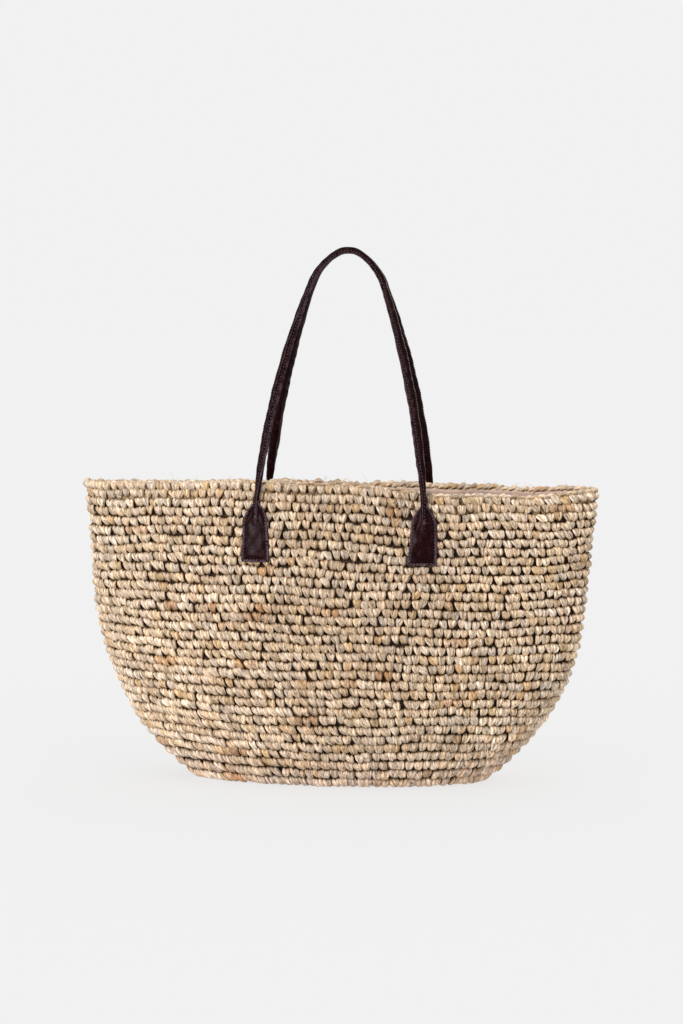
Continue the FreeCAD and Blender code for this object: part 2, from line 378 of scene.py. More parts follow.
def stitches(name, share, z, place, material, out_scale=1.0, darkest=0.05):
    """V-shaped stitches: two plump legs each, set down by place(share, z, sideways, up, out).

    darkest is the darkest painted shade, deep in the creases and at the legs' tucked ends, and is at most
    RIM_DARKEST.
    """
    count = len(share)
    x = place(share, z, 0.0, 0.0, np.zeros(count))[:, 0]
    lean = -0.30 - 0.18 * np.sin(x * 9.0 + z * 16.0 + 0.4) + RNG.normal(0.0, 0.20, count)
    bulk = RNG.uniform(0.88, 1.12, count)
    share = share + RNG.normal(0.0, 0.00045, count)
    z = z + RNG.normal(0.0, 0.00062, count)
    lift = out_scale * RNG.uniform(0.72, 1.20, count)
    tint = raffia_tint(count, x, z)
    points, shades, uvs = [], [], []
    strand = RNG.random(count) < STRAND_SHARE
    groups = [(LEFT, np.arange(count)), (RIGHT, np.arange(count)), (LOOSE, np.nonzero(strand)[0])]
    for hand, chosen in groups:
        legs = len(chosen)
        wave = RNG.uniform(-1.0, 1.0, (legs, 4))
        size = bulk[chosen] * RNG.uniform(0.92, 1.12, legs)
        slant, height = lean[chosen], lift[chosen]
        if hand == LOOSE:
            size, height = 0.46 * size, 0.55 * height + 0.84 * out_scale
            slant = slant - RNG.uniform(0.25, 0.60, legs)
        sideways, upward, outward, pleat = leg_template(hand, slant, size, height, wave)
        placed = place(share[chosen, None, None], z[chosen, None, None],
                       sideways, upward, outward).reshape(-1, 3)
        placed[:, 2] = np.maximum(placed[:, 2], FLOOR_GAP)
        points.append(placed)
        # Painted shade: each leg is darkened where it tucks down into the crochet and in the valleys of
        # its pleats, less so at the rim.
        depth = smooth(outward, -1.5 * MM, 3.0 * MM)
        crease = np.clip(0.70 + 2.2 * (pleat - 0.90), 0.36, 1.16)[:, None, :]
        at_rim = smooth(placed[:, 2], 0.300, 0.307).reshape(depth.shape)
        least = darkest + (RIM_DARKEST - darkest) * at_rim
        painted_shade = least + (1.0 - least) * depth * crease
        leg_tint = tint[chosen] * RNG.uniform(0.76, 1.20, (legs, 1))
        leg_tint = leg_tint * (1.0 - RNG.uniform(-1.0, 1.0, (legs, 1)) * YELLOWING)
        # The painted shade turns browner as it deepens.
        warm = np.stack([painted_shade ** 0.92, painted_shade ** 1.12, 1.03 * painted_shade ** 1.50], -1)
        shades.append((leg_tint[:, None, None, :] * warm).reshape(-1, 3))
        along = np.broadcast_to(LEG_UP[:, None], sideways.shape)
        around = np.broadcast_to(np.arange(LEG_SIDES) / LEG_SIDES, sideways.shape)
        jump = RNG.uniform(0.0, 40.0, legs)[:, None, None]
        uvs.append(np.stack([around + jump, along + jump], -1).reshape(-1, 2))
    points, shades, uvs = (np.concatenate(part) for part in (points, shades, uvs))
    faces = many(LEG_FACES, LEG_POINTS, len(points) // LEG_POINTS)
    return mesh_piece(name, points, faces, material, uvs, shades)


def on_round(share, z, sideways, up, out):
    return on_body(share + sideways * STITCH_PITCH / length_at(z), z + up * ROW_PITCH, out)


def wall_place(share, z, sideways, up, out):
    return on_round(share, z, sideways, up, out - LOFT_DEPTH)


def inner_place(share, z, sideways, up, out):
    """The same stitches seen from inside the mouth."""
    return on_round(share, z, sideways, up, LOFT_DEPTH - CROCHET_THICKNESS - out)


def edging_place(share, z, sideways, up, out):
    """Links of the last round lie along the top of the rim, each V pointing on to the next."""
    shift = LINK_STRETCH * up * LINK_PITCH / length_at(RIM_Z)
    point = on_body(share + shift, z, -CROCHET_THICKNESS / 2 + sideways * EDGING_SPREAD)
    point[..., 2] += out - CHAIN_DROP
    return point


def base_place_for(inset):
    """The place() of one ring of the oval base, and the ring's length."""
    angles = np.pi + np.linspace(0.0, TURN, 721)
    run = run_along((BASE_HALF_WIDTH - inset) * np.cos(angles),
                    (BASE_HALF_DEPTH - inset) * np.sin(angles))

    def place(share, z, sideways, up, out):
        places = (share + sideways * STITCH_PITCH / run[-1]) % 1.0
        angle = np.interp(places, run / run[-1], angles)
        reach = inset - up * ROW_PITCH
        x = (BASE_HALF_WIDTH - reach) * np.cos(angle)
        y = np.maximum(BASE_HALF_DEPTH - reach, 0.0) * np.sin(angle)
        return xyz(x, y, BASE_LOFT_Z - out)

    return place, run[-1]


def wall_row(row):
    """Shares and heights of one round's stitches; each round climbs into the next."""
    middle = (row + 0.5) * ROW_PITCH
    count = int(round(length_at(middle) / STITCH_PITCH))
    share = (np.arange(count) + 0.5 + 0.37 * row) / count % 1.0
    share = share + RNG.normal(0.0, 0.0006, count)
    climb = (0.5 - share) * ROW_PITCH * smooth(row, 0, 3)
    turn = TURN * share
    wander = 1.2 * np.sin(3.0 * turn + row * 0.21) + 0.9 * np.sin(7.0 * turn - row * 0.35)
    wander = wander + 0.5 * np.sin(15.0 * turn + row * 1.3)
    z = middle + climb * 0.9 + MM * wander * smooth(row, 0, 4) * (row < ROWS - 1)
    z = z - TOP_ROUND_DROP * (row == ROWS - 1)
    return share, z


def crochet_wall(material):
    pieces = []
    for first in range(0, ROWS, ROWS_PER_PIECE):
        rows = [wall_row(row) for row in range(first, min(first + ROWS_PER_PIECE, ROWS))]
        share = np.concatenate([r[0] for r in rows])
        z = np.concatenate([r[1] for r in rows])
        pieces.append(stitches(f"crochet_rounds_{first + 1:02d}", share, z, wall_place, material))
    return pieces


def rim_edging(material):
    """The last round: a chain of flat links on top, and the two topmost rounds seen from inside."""
    count = int(round(length_at(RIM_Z) / LINK_PITCH))
    share = (np.arange(count) + 0.5) / count
    z = np.full(count, EDGING_Z)
    chain = stitches("rim_chain", share, z, edging_place, material, 0.80, RIM_DARKEST)
    count = int(round(length_at(RIM_Z) / STITCH_PITCH))
    share = (np.arange(count) + 0.25) / count
    z = np.repeat([EDGING_Z - drop * ROW_PITCH for drop in INNER_ROUND_DROPS], count)
    share = np.concatenate([share, share + 0.4 / count]) % 1.0
    inside = stitches("rim_inside", share, z, inner_place, material, 0.8, 0.35)
    return chain, inside


def crochet_base(material):
    """Oval rings of stitches on the underside, their tops turned outwards."""
    pieces = []
    rings = int(BASE_HALF_DEPTH / ROW_PITCH) + 1
    for ring in range(rings):
        place, length = base_place_for((ring + 0.45) * ROW_PITCH)
        count = max(8, int(round(length / STITCH_PITCH)))
        share = (np.arange(count) + 0.5 + 0.4 * ring) / count % 1.0
        pieces.append(stitches(f"base_ring_{ring + 1}", share, np.zeros(count), place, material, 0.75))
    return joined("crochet_base_rings", pieces)


def joined(name, pieces):
    """Several mesh pieces of one material made into one."""
    with bpy.context.temp_override(active_object=pieces[0], selected_editable_objects=pieces):
        bpy.ops.object.join()
    pieces[0].name = name
    return pieces[0]


def backing(material):
    """The dense back of the crochet that shows between the stitches, coloured near-black as painted
    shade.
    """
    columns, rows = 360, 70
    share = np.linspace(0.0, 1.0, columns, endpoint=False)
    z = np.linspace(0.0008, EDGING_Z - BACK_TOP_DROP, rows)[:, None]
    wall = on_body(share, z, -BACKING_DEPTH).reshape(-1, 3)
    wall_faces = grid_faces(rows, columns, True)
    columns, rows = 96, 12
    x, y = oval(BASE_HALF_WIDTH - 0.003, BASE_HALF_DEPTH - 0.003, rows, columns)
    floor = xyz(x, y, BASE_BACK_Z).reshape(-1, 3)
    floor_faces = grid_faces(rows, columns, True)[:, ::-1] + len(wall)
    return mesh_piece("crochet_back", np.concatenate([wall, floor]),
                      np.concatenate([wall_faces, floor_faces]), material)


# ---- lining

LINING_FLOOR_Z = 0.0084
LINING_TOP_Z = 0.304
LINING_DEPTH = 0.0084  # below the body's outer face
LINING_EDGE_GAP = 0.010  # from the body's outer face to the edge of the lining's floor
HEM_HEIGHT = 0.014
HEM_SEWING_DROP = 0.0095  # of the hem's stitches, below the lining's top
HEM_STITCHES = 300
SEAM_STITCH_STEP = 0.0036
SEAM_STITCH_LENGTH = 0.0024


def lining_wrinkles(share, z):
    """Soft vertical folds of a loose lining, gathered a little under the hem."""
    turn = share * TURN
    folds = np.sin(turn * 19.0 + 2.2 * np.sin(z * 22.0)) * smooth(0.29 - z, 0.0, 0.06)
    pucker = np.sin(turn * 74.0 + np.sin(z * 60.0)) * smooth(z, 0.25, 0.29)
    slack = np.sin(turn * 7.0 + z * 31.0)
    return MM * (0.55 * folds + 0.22 * pucker + 0.45 * slack - 0.6)


def lining_panel(side, material):
    columns, rows = 200, 90
    first = 0.0 if side == FRONT else 0.5
    share = first + 0.5 * np.linspace(0.0, 1.0, columns)
    z = np.linspace(LINING_FLOOR_Z + 0.0006, LINING_TOP_Z, rows)[:, None]
    points = on_body(share, z, -LINING_DEPTH + lining_wrinkles(share, z))
    piece = mesh_piece(SIDES[side] + "_lining_cloth", points, grid_faces(rows, columns, False), material)
    return piece


def lining_floor(material):
    columns, rows = 120, 24
    width = half_width(LINING_FLOOR_Z) - LINING_EDGE_GAP
    depth = half_depth(LINING_FLOOR_Z) - LINING_EDGE_GAP
    x, y = oval(width, depth, rows, columns)
    z = LINING_FLOOR_Z + MM * (0.35 + 0.35 * np.sin(x * 70.0 + 2.0 * np.sin(y * 60.0)))
    points = xyz(x, y, z)
    piece = mesh_piece("lining_floor_cloth", points, grid_faces(rows, columns, True), material)
    return piece


def lining_hem(material):
    """The folded top edge: a doubled band with a soft lower lip."""
    columns = 480
    z_low, z_high = LINING_TOP_Z - HEM_HEIGHT, LINING_TOP_Z + 0.0006
    # heights, and how many millimetres the band stands inwards at each
    profile = [(z_low, 0.2), (z_low + 0.0004, 0.9), (z_low + 0.003, 1.15), (z_low + 0.0048, 0.85),
               (z_low + 0.007, 1.2), (z_high - 0.002, 1.25), (z_high, 0.8), (z_high + 0.0003, 0.1)]
    share = np.linspace(0.0, 1.0, columns, endpoint=False)
    rings = []
    for z, stand in profile:
        ripple = 0.18 * np.sin(share * TURN * 130.0 + z * 900.0)
        rings.append(on_body(share, z, -LINING_DEPTH + MM * (-0.4 - stand - ripple)))
    faces = grid_faces(len(profile), columns, True)
    return mesh_piece("lining_hem_fold", np.stack(rings), faces, material)


# ---- thread

STITCH_RINGS = 5
STITCH_SIDES = 6


def thread_stitches(name, starts, ends, lift, radius, material):
    """Short stitches of thread from starts to ends, arched along lift."""
    starts, ends, lift = (np.asarray(v, float) for v in (starts, ends, lift))
    count = len(starts)
    along = np.linspace(0.0, 1.0, STITCH_RINGS)
    arch = np.sin(np.pi * along)
    thick = radius * np.array([0.45, 0.95, 1.0, 0.95, 0.45])
    centre = mixed(starts[:, None], ends[:, None], along[:, None])
    centre = centre + lift[:, None] * (arch * radius * 0.9)[:, None]
    side = unit(np.cross(unit(ends - starts), lift))
    points = rings_round(centre, side[:, None], lift[:, None], thick[:, None], even_turns(STITCH_SIDES))
    body = grid_faces(STITCH_RINGS, STITCH_SIDES, True)
    last = (STITCH_RINGS - 1) * STITCH_SIDES
    caps = np.array([[3, 2, 1, 0], [5, 4, 3, 0],
                     [last, last + 1, last + 2, last + 3], [last, last + 3, last + 4, last + 5]])
    faces = many(np.concatenate([body, caps]), STITCH_RINGS * STITCH_SIDES, count)
    return mesh_piece(name, points, faces, material)


def hem_stitches(material):
    share = np.arange(HEM_STITCHES) / HEM_STITCHES
    z = LINING_TOP_Z - HEM_SEWING_DROP
    out = -LINING_DEPTH - 1.45 * MM
    starts = on_body(share, z, out)
    ends = on_body(share + 0.62 / HEM_STITCHES, z, out)
    inwards = unit(on_body(share, z, out - MM) - starts)
    return thread_stitches("hem_stitches", starts, ends, inwards, 0.32 * MM, material)


def seam_stitches(material):
    """The lining's two side seams, one at each end of the bag."""
    z = np.arange(0.014, LINING_TOP_Z - 0.020, SEAM_STITCH_STEP)
    starts, ends, lifts = [], [], []
    for share in (0.0, 0.5):
        out = -LINING_DEPTH + lining_wrinkles(share, z) - 0.25 * MM
        spots = on_body(share, z, out)
        starts.append(spots)
        ends.append(on_body(share, z + SEAM_STITCH_LENGTH, out))
        inwards = np.zeros_like(spots)
        inwards[:, 0] = -np.sign(spots[:, 0])
        lifts.append(inwards)
    return thread_stitches("lining_seam_stitches", np.concatenate(starts), np.concatenate(ends),
                           np.concatenate(lifts), 0.32 * MM, material)


# ---- handles and tabs

RIDGE_DROP = 0.027  # how far the rolled strap runs down over its tab
ROLL_RADIUS = 0.0031
FIN_HEIGHT = 0.0017
ROLL_WIDE, ROLL_FLAT = 1.08, 0.94  # the roll is wider than it is thick
STRAP_ON_TAB = 0.0020  # the strap's middle, off the wall, at the lower end of the ridge
STRAP_SIDES = 36
STRAP_STEP = 0.0008
STITCH_STEP = 0.0034  # of the leather's stitches and the pinches between them
HANDLE_STITCH_LENGTH = 0.0021
TAB_STITCH_LENGTH = 0.0023
SERRATION_STEP = 0.0027  # of the small notches along the strap's edge
REAR_WIDER = 1.14
ROPE_SIDES = 18
ROPE_RADIUS = 0.0015
ROPE_TWIST = 0.014


def handle_middle(side):
    """The point halfway between a handle's two necks."""
    return np.array([HANDLE_SHIFT_X[side], side * NECK_Y, NECK_Z])


def neck(side, hand):
    tilt, along = HANDLE_TILT[side], hand * NECK_HALF_SPACING
    return handle_middle(side) + along * np.array([math.cos(tilt), 0.0, -math.sin(tilt)])


def to_bag(side, points, vectors=False):
    """From the handle's own upright plane (X across, Z up) to its leaning place on the bag."""
    lean = side * HANDLE_LEAN
    x, y, z = points[..., 0], points[..., 1], points[..., 2]
    y, z = y * math.cos(lean) - z * math.sin(lean), y * math.sin(lean) + z * math.cos(lean)
    cos_tilt, sin_tilt = math.cos(HANDLE_TILT[side]), math.sin(HANDLE_TILT[side])
    x, z = x * cos_tilt + z * sin_tilt, z * cos_tilt - x * sin_tilt
    moved = xyz(x, y, z)
    return moved if vectors else moved + handle_middle(side)


def arch(step):
    """The arch's middle line in its own plane, from the left neck to the right one, evenly spaced."""
    x, z = NECK_HALF_SPACING, 0.0
    line = [(x, z)]
    for radius, start, end in zip(ARCH_RADII, ARCH_TURNS[:-1], ARCH_TURNS[1:]):
        start, end = math.radians(start), math.radians(end)
        turns = np.linspace(start, end, 60)[1:]
        for turn in turns:
            line.append((x - radius * (math.cos(start) - math.cos(turn)),
                         z + radius * (math.sin(turn) - math.sin(start))))
        x, z = line[-1]
    half = np.array(line)
    half[:, 0] -= half[-1, 0]
    whole = np.concatenate([half * [-1, 1], half[-2::-1]])
    run = run_along(*whole.T)
    even = np.linspace(0.0, run[-1], int(run[-1] / step))
    return xyz(np.interp(even, run, whole[:, 0]), 0.0, np.interp(even, run, whole[:, 1]))


def strap_path(side):
    """Points, tangents and outward directions along a whole strap, tab ridge to tab ridge."""
    middle = to_bag(side, arch(STRAP_STEP))
    tails = {}
    for hand in (LEFT, RIGHT):
        x, y, z = neck(side, hand)
        drops = np.arange(STRAP_STEP, RIDGE_DROP, STRAP_STEP)
        on_tab = wall_y(x, z - drops, side, STRAP_ON_TAB)
        straight = y + side * drops * math.tan(HANDLE_LEAN)
        tails[hand] = xyz(x, mixed(straight, on_tab, smooth(drops, 0.0, RIDGE_DROP)), z - drops)
    points = np.concatenate([tails[LEFT][::-1], middle, tails[RIGHT]])
    tangents = unit(np.gradient(points, axis=0))
    facing = to_bag(side, np.array([0.0, float(side), 0.0]), vectors=True)
    facing = unit(facing - tangents * (tangents @ facing)[:, None])
    return points, tangents, facing


def from_necks(place, whole):
    """Distance along the strap past the nearer neck; negative on the ridge over the tab."""
    return np.minimum(place, whole - place) - RIDGE_DROP


def strap_size(from_neck, side):
    """The strap is slimmer at the necks and runs out to a point on the tabs."""
    fade = smooth(from_neck, -RIDGE_DROP - 0.002, -0.004)
    swell = 0.93 + 0.27 * smooth(from_neck, 0.006, 0.045) - 0.36 * smooth(from_neck, 0.110, 0.280)
    wider = REAR_WIDER if side == REAR else 1.0
    return (0.10 + 0.90 * fade) * swell * wider


def fin_turn(from_neck):
    """Where round the strap the sewn edge stands: facing out at the tabs, turned inwards above."""
    turn = 1.45 - 0.95 * smooth(from_neck, 0.002, 0.060)
    return turn + 0.14 * np.sin(from_neck * 31.0) * smooth(from_neck, 0.02, 0.08)


def from_fin(angle, from_neck):
    """Angle round the strap from its fin, between minus and plus half a turn."""
    return (angle - fin_turn(from_neck) + np.pi) % TURN - np.pi


def strap_section(angle, place, from_neck):
    """Radius of the strap: a roll with a thin sewn fin, a groove each side of it, and creases."""
    off = from_fin(angle, from_neck)
    apart = np.abs(off)
    fin = FIN_HEIGHT * np.exp(-(off / 0.21) ** 4)
    groove = 0.0006 * hump(apart, 0.50, 0.17)
    pinch = 0.00013 * np.cos(place * TURN / STITCH_STEP) * hump(apart, 0.55, 0.40)
    notches = np.cos(place * TURN / SERRATION_STEP + 1.2 * angle) * hump(apart, 2.4, 0.5) * (off > 0.0)
    serration = 0.00024 * (1.0 - smooth(from_neck, 0.14, 0.24)) * notches
    crease = 0.00012 * np.sin(place * 420.0 + 5.0 * np.sin(angle + place * 35.0))
    crease = crease + 0.00016 * np.sin(place * 145.0 + 2.0 * angle)
    return ROLL_RADIUS + fin - groove + pinch + serration + crease


def strap_frames(side):
    """Along a strap: points, directions to the arch's inside and out of its plane, and how far
    each point is from the left end and past the nearer neck."""
    points, tangents, facing = strap_path(side)
    inside = np.cross(tangents, facing) * -side
    place = np.arange(len(points)) * STRAP_STEP
    return points, inside, facing, place, from_necks(place, place[-1])


def turned(faces, side):
    """The front's pieces are mirror images of the rear's, so their faces are turned over."""
    return faces[:, ::-1] if side == FRONT else faces


def handle_leather(side, material):
    points, inside, facing, place, from_neck = strap_frames(side)
    angle, away = even_turns(STRAP_SIDES), from_neck[:, None]
    radius = strap_section(angle, place[:, None], away) * strap_size(away, side)
    surface = rings_round(points, ROLL_WIDE * inside, ROLL_FLAT * facing, radius, angle)
    # Painted highlight: a pale lilac-grey line along the strap's fin.
    painted_highlight = hump(from_fin(angle, away), -0.05, 0.20)[..., None] * PAINTED_EDGE_HIGHLIGHT * 0.75
    faces = turned(tube_faces(len(place), STRAP_SIDES), side)
    return mesh_piece(SIDES[side] + "_handle_leather", surface, faces, material,
                      tint=painted_highlight.reshape(-1, 3))


def handle_stitches(side, material):
    """Slanting stitches beside the fin, from neck to neck and down the ridges on the tabs."""
    points, inside, facing, place, from_neck = strap_frames(side)
    starts = (np.arange(0.010, place[-1] - 0.010, STITCH_STEP) / STRAP_STEP).astype(int)
    ends = np.minimum(starts + int(HANDLE_STITCH_LENGTH / STRAP_STEP), len(place) - 1)
    pair = []
    for at, off in ((starts, 0.42), (ends, 0.78)):
        angle = fin_turn(from_neck[at]) + off
        out = (inside[at] * (ROLL_WIDE * np.cos(angle))[:, None]
               + facing[at] * (ROLL_FLAT * np.sin(angle))[:, None])
        radius = strap_section(angle, place[at], from_neck[at]) * strap_size(from_neck[at], side)
        pair.append(points[at] + out * (radius + 0.00010)[:, None])
    return thread_stitches(SIDES[side] + "_handle_stitches", *pair, out, 0.36 * MM, material)


def handle_rope(side, material):
    """The twisted cotton rope inside the roll, neck to neck."""
    points, inside, facing, place, from_neck = strap_frames(side)
    keep = np.nonzero(from_neck > 0.0)[0][::2]
    angle = even_turns(ROPE_SIDES)
    lobes = np.cos(3.0 * angle + place[keep][:, None] * TURN / ROPE_TWIST)
    radius = ROPE_RADIUS + 0.00022 * lobes
    surface = rings_round(points[keep], inside[keep], facing[keep], radius, angle)
    faces = turned(tube_faces(len(keep), ROPE_SIDES), side)
    return mesh_piece(SIDES[side] + "_handle_rope", surface, faces, material)


TAB_NECK_HALF_WIDTH = 0.0030
TAB_SHOULDER_HALF_WIDTH = 0.0132
TAB_BOTTOM_HALF_WIDTH = 0.0153
TAB_SHOULDER_DROP = 0.022
TAB_THICKNESS = 0.0023
TAB_UNDERSIDE = 0.0011  # off the wall's own surface, bedded among the stitches
TAB_STITCH_INSET = 0.0026
PAINTED_EDGE_HIGHLIGHT = np.array([0.085, 0.058, 0.073])  # painted highlight: lilac-grey light added along the leather's proud edges and the strap's fin


def tab_name(side, hand):
    return f"{SIDES[side]}_{HANDS[hand]}_tab"


def tab_seed(side, hand):
    """A different number for each tab, so that their creases differ."""
    return 1.3 * side + 2.1 * hand


def tab_half_width(drop):
    widening = np.sin(np.pi / 2 * np.clip((drop - 0.001) / (TAB_SHOULDER_DROP - 0.002), 0.0, 1.0)) ** 1.15
    width = TAB_NECK_HALF_WIDTH + (TAB_SHOULDER_HALF_WIDTH - TAB_NECK_HALF_WIDTH) * widening
    lower = np.clip((drop - TAB_SHOULDER_DROP) / (TAB_DROP - TAB_SHOULDER_DROP), 0.0, 1.0)
    corner = smooth(drop, TAB_DROP - 0.0035, TAB_DROP + 0.001) ** 2
    return width + (TAB_BOTTOM_HALF_WIDTH - TAB_SHOULDER_HALF_WIDTH) * lower - 0.0016 * corner


def tab_edge_distance(x, drop):
    return np.minimum((tab_half_width(drop) - np.abs(x)) * 0.96, TAB_DROP - drop)


def tab_top(x, drop, seed):
    """Height of the tab's face off the wall: a pillowy border, a stitched groove, creases."""
    edge = np.maximum(tab_edge_distance(x, drop), 0.0)
    rounding = np.sqrt(np.clip(1.0 - (1.0 - np.minimum(edge / 0.0012, 1.0)) ** 2, 0.0, 1.0))
    groove = hump(edge, TAB_STITCH_INSET, 0.00055)
    around = np.where(TAB_DROP - drop < (tab_half_width(drop) - np.abs(x)), x, drop)
    beat = np.cos(around * TURN / STITCH_STEP)
    lip = hump(edge, 0.0013, 0.0009) * (0.42 + 0.18 * beat)
    pillow = 0.55 * smooth(edge, 0.0028, 0.0075)
    near_neck = 1.0 - smooth(drop, 0.012, 0.036)
    creases = np.sin(np.abs(x) * 900.0 - drop * 420.0 + seed) * smooth(np.abs(x), 0.002, 0.006)
    folds = np.sin(x * 330.0 + drop * 210.0 + 1.7 * seed) * (1.0 - smooth(drop, 0.030, 0.055))
    ridge = 1.5 * hump(x, 0.0, 0.0034) * (1.0 - smooth(drop, 0.014, RIDGE_DROP + 0.004))
    dents = 0.22 * np.sin(x * 410.0 + seed) * np.sin(drop * 260.0 + 2.0 * seed)
    face = lip + pillow - 0.42 * groove + 0.36 * creases * near_neck + 0.22 * folds + ridge + dents
    return TAB_UNDERSIDE + TAB_THICKNESS * rounding + MM * face * rounding


def tab_place(side, hand, x, drop, out):
    neck_x, _, neck_z = neck(side, hand)
    sway = 0.0008 * np.sin(drop * 60.0 + side + hand)
    px = neck_x + x + sway * smooth(drop, 0.0, 0.03)
    pz = neck_z - drop
    return xyz(px, wall_y(px, pz, side, out), pz)


def tab_leather(side, hand, material):
    drops = np.concatenate([np.linspace(-0.001, TAB_DROP - 0.004, 120),
                            np.linspace(TAB_DROP - 0.0037, TAB_DROP, 16)])[:, None]
    share = np.sin(np.linspace(-1.0, 1.0, 61) * np.pi / 2 * 0.92) / math.sin(np.pi / 2 * 0.92)
    x = share[None, :] * tab_half_width(drops)
    drops = np.broadcast_to(drops, x.shape)
    top = tab_place(side, hand, x, drops, tab_top(x, drops, tab_seed(side, hand)))
    # Painted highlight along the tab's proud border and down the strap's ridge over it.
    border = hump(tab_edge_distance(x, drops), 0.0011, 0.0008)
    ridge = hump(x, 0.0006, 0.0012) * (1.0 - smooth(drops, 0.016, RIDGE_DROP))
    painted_highlight = np.concatenate([border + 0.8 * ridge, np.zeros(x.shape)], axis=1)[..., None] * PAINTED_EDGE_HIGHLIGHT
    under = tab_place(side, hand, x[:, ::-1] * 0.985, drops, TAB_UNDERSIDE - 0.0004)
    return closed_slab(tab_name(side, hand) + "_leather", top, under, side, material, painted_highlight)


PATCH_HALF_WIDTH = 0.018
PATCH_TOP, PATCH_BOTTOM = 0.011, 0.065  # drops below the neck
PATCH_DEPTHS = (-0.0061, -0.0073)  # of its two faces, off the wall


def tab_patch(side, hand, material):
    """The leather patch behind the wall that the tab is sewn through to."""
    drops = np.linspace(PATCH_TOP, PATCH_BOTTOM, 40)[:, None]
    x = np.linspace(-PATCH_HALF_WIDTH, PATCH_HALF_WIDTH, 30)[None, :]
    front = tab_place(side, hand, x, drops, PATCH_DEPTHS[0])
    back = tab_place(side, hand, x[:, ::-1], drops, PATCH_DEPTHS[1])
    return closed_slab(tab_name(side, hand) + "_patch", front, back, side, material, np.zeros(3))


def closed_slab(name, face, back, side, material, tint):
    """A closed thin piece from its face and its back, the back's columns running the other way."""
    surface = np.concatenate([face, back], axis=1)
    rows, columns = surface.shape[:2]
    wide = face.shape[1]
    faces = [grid_faces(rows, columns, True)]
    for start, turn in ((0, -1), ((rows - 1) * columns, 1)):
        up = start + np.arange(wide)
        down = start + columns - 1 - np.arange(wide)
        ends = np.stack([up[:-1], up[1:], down[1:], down[:-1]], -1)
        faces.append(ends[:, ::turn])
    faces = turned(np.concatenate(faces), side)
    return mesh_piece(name, surface, faces, material, tint=tint.reshape(-1, 3))


def tab_stitches(side, hand, material):
    """The line of stitches that runs down one edge, along the bottom and up the other."""
    drops = np.linspace(0.012, TAB_DROP - TAB_STITCH_INSET, 200)
    half = tab_half_width(drops) - TAB_STITCH_INSET
    base = np.linspace(-half[-1], half[-1], 80)[1:-1]
    across = np.concatenate([-half, base, half[::-1]])
    down = np.concatenate([drops, np.full(len(base), drops[-1]), drops[::-1]])
    run = run_along(across, down)
    spots = np.arange(0.0006, run[-1] - 0.0026, STITCH_STEP)
    ends = []
    for spot in (spots, spots + TAB_STITCH_LENGTH):
        x, drop = np.interp(spot, run, across), np.interp(spot, run, down)
        top = tab_top(x, drop, tab_seed(side, hand))
        ends.append(tab_place(side, hand, x, drop, top + 0.00012))
    lift = np.tile([0.0, float(side), 0.0], (len(spots), 1))
    return thread_stitches(tab_name(side, hand) + "_stitches", *ends, lift, 0.40 * MM, material)


# ---- loose fibres

def loose_fibres(material):
    """Thin ends of raffia that stick out of the rim and the wall, and one small tuft."""
    sides, rings = 5, 8
    along = np.linspace(0.0, 1.0, rings)
    tuft = [(0.068 + RNG.normal(0.0, 0.003), 0.310, FRONT, 0.011) for _ in range(7)]
    strays = [(RNG.uniform(-0.25, 0.25), RNG.uniform(0.03, 0.30), RNG.choice([FRONT, REAR]),
               RNG.uniform(0.005, 0.013)) for _ in range(70)]
    rim = [(RNG.uniform(-0.255, 0.255), 0.309, RNG.choice([FRONT, REAR]),
            RNG.uniform(0.004, 0.008)) for _ in range(40)]
    points, tints = [], []
    for x, z, side, length in tuft + strays + rim:
        at_rim = z > 0.306
        x = float(np.clip(x, -0.93 * half_width(z), 0.93 * half_width(z)))
        drop = float(rim_dip(x, side * 0.05)) if at_rim else 0.0
        y = float(wall_y(x, z - drop, side, -0.001 if at_rim else 0.0012))
        heading = np.array([RNG.normal(0.0, 0.7), side * RNG.uniform(0.25, 0.6),
                            RNG.uniform(0.3, 1.0) if at_rim else RNG.normal(-0.2, 0.6)])
        bend = np.array([RNG.normal(0.0, 0.5), side * -0.25, RNG.normal(-0.3, 0.4)])
        line = (np.array([x, y, z - drop]) + along[:, None] * length * unit(heading)
                + (along ** 2)[:, None] * length * 0.6 * bend)
        ahead = unit(np.gradient(line, axis=0))
        one = unit(np.cross(ahead, [0.31, 0.52, 0.79]))
        thick = 0.00034 * (1.0 - 0.75 * along)[:, None]
        tube = rings_round(line, one, 0.55 * np.cross(ahead, one), thick, even_turns(sides))
        points.append(tube.reshape(-1, 3))
        shade = np.array([0.66, 0.50, 0.33]) * RNG.uniform(0.75, 1.15)
        tints.append(np.tile(shade, (sides * rings, 1)))
    body = grid_faces(rings, sides, True)
    last = (rings - 1) * sides
    caps = np.array([[3, 2, 1, 0], [4, 3, 0, -1], [last, last + 1, last + 2, last + 3],
                     [last, last + 3, last + 4, -1]])
    faces = many(np.concatenate([body, caps]), rings * sides, len(points))
    points = np.concatenate(points)
    uv = np.stack([points[:, 0] * 90.0, points[:, 2] * 90.0], -1)
    return mesh_piece("loose_fibres", points, faces, material, uv, np.concatenate(tints))


# ---- all pieces

def fit(piece, node=None):
    """Put a piece on the bag's body, in place of its CAD node if it has one."""
    if node:
        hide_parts(node)
    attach(piece, "bag")


